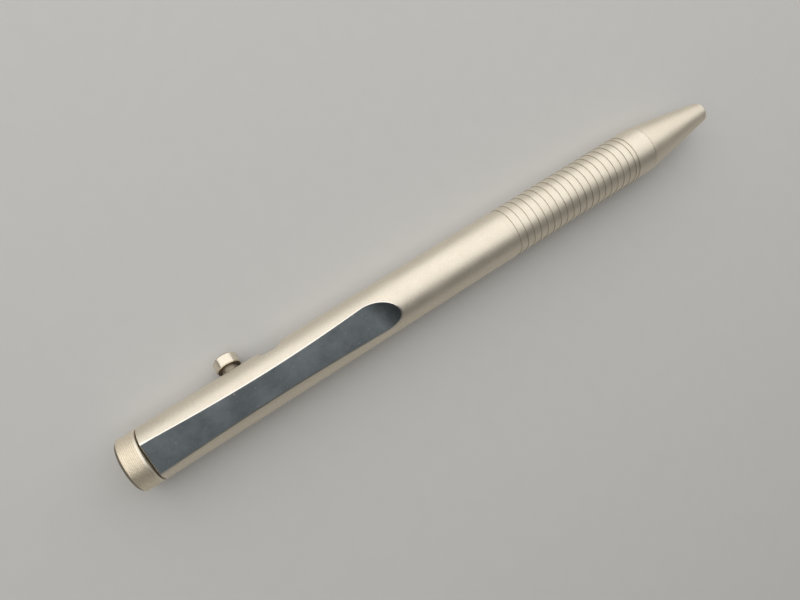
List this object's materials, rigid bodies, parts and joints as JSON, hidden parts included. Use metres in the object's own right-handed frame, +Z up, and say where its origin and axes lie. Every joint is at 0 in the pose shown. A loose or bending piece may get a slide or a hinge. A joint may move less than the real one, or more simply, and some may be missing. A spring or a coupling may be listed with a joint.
{
  "type": "bolt action ballpoint pen",
  "caption": "Turned metal pen lying on its side: a side bolt slides in a J slot to push out the refill; crowned facet, grooved grip, cone nose and screw-off rear cap.",
  "frame": {"origin": "on the table, under the middle of the pen's bounding box", "axes": "+X along the pen towards the writing tip, +Y level towards the bolt knob's side, +Z up from the table"},
  "size_m": [0.1392, 0.014, 0.0105],
  "materials": {
    "barrel_titanium": "satin, finely turned titanium",
    "cap_titanium": "satin titanium with fine turned grooves",
    "o_ring_rubber": "matt black",
    "nose_titanium": "satin, finely turned titanium",
    "carrier_steel": "turned",
    "knob_titanium": "bright turned titanium",
    "refill_metal": "plated",
    "plug_plastic": "moulded",
    "grease": "clear grease",
    "ink": "wet ink",
    "nozzle_brass": "turned",
    "point_steel": "polished",
    "ball_carbide": "polished",
    "spring_steel": "drawn wire"
  },
  "bodies": {
    "barrel": {"barrel": "barrel_titanium"},
    "cap_seal": {"rear_cap_o_ring": "o_ring_rubber"},
    "rear_cap": {"rear_cap": "cap_titanium"},
    "spring": {"return_spring": "spring_steel"},
    "nose": {"nose_cone": "nose_titanium"},
    "bolt": {"bolt_carrier": "carrier_steel", "bolt_knob": "knob_titanium"},
    "refill": {"refill_tube": "refill_metal", "refill_end_plug": "plug_plastic", "refill_grease": "grease", "refill_ink": "ink", "refill_nozzle": "nozzle_brass", "refill_point": "point_steel"},
    "writing_ball": {"refill_ball": "ball_carbide"}
  },
  "joints": [
    {"name": "bolt_slide", "type": "slide", "parent": "barrel", "child": "bolt", "axis": [1, 0, 0], "range_m": [0, 0.0087], "stiffness_N_per_m": 200, "springref_m": -0.006, "deforming": ["return_spring"]},
    {"name": "refill_travel", "type": "slide", "parent": "barrel", "child": "refill", "axis": [1, 0, 0], "range_m": [0, 0.0087]},
    {"name": "ball_roll", "type": "hinge", "parent": "refill", "child": "writing_ball", "pos_m": [0.0639, -0.00174, 0.00525], "axis": [0, 1, 0], "continuous": true},
    {"name": "rear_cap_travel", "type": "slide", "parent": "barrel", "child": "cap_seal", "axis": [-1, 0, 0], "range_m": [0, 0.006]},
    {"name": "rear_cap_turn", "type": "hinge", "parent": "cap_seal", "child": "rear_cap", "pos_m": [-0.0696, -0.00174, 0.00525], "axis": [-1, 0, 0], "range_deg": [0, 2885]},
    {"name": "nose_travel", "type": "slide", "parent": "barrel", "child": "spring", "axis": [1, 0, 0], "range_m": [0, 0.006]},
    {"name": "nose_turn", "type": "hinge", "parent": "spring", "child": "nose", "pos_m": [0.0511, -0.00174, 0.00525], "axis": [1, 0, 0], "range_deg": [0, 2885]}
  ],
  "couplings": [
    {"joint": "refill_travel", "follows": "bolt_slide", "ratio": 1},
    {"joint": "rear_cap_turn", "follows": "rear_cap_travel", "rad_per_m": 8377.6},
    {"joint": "nose_turn", "follows": "nose_travel", "rad_per_m": 8377.6}
  ]
}
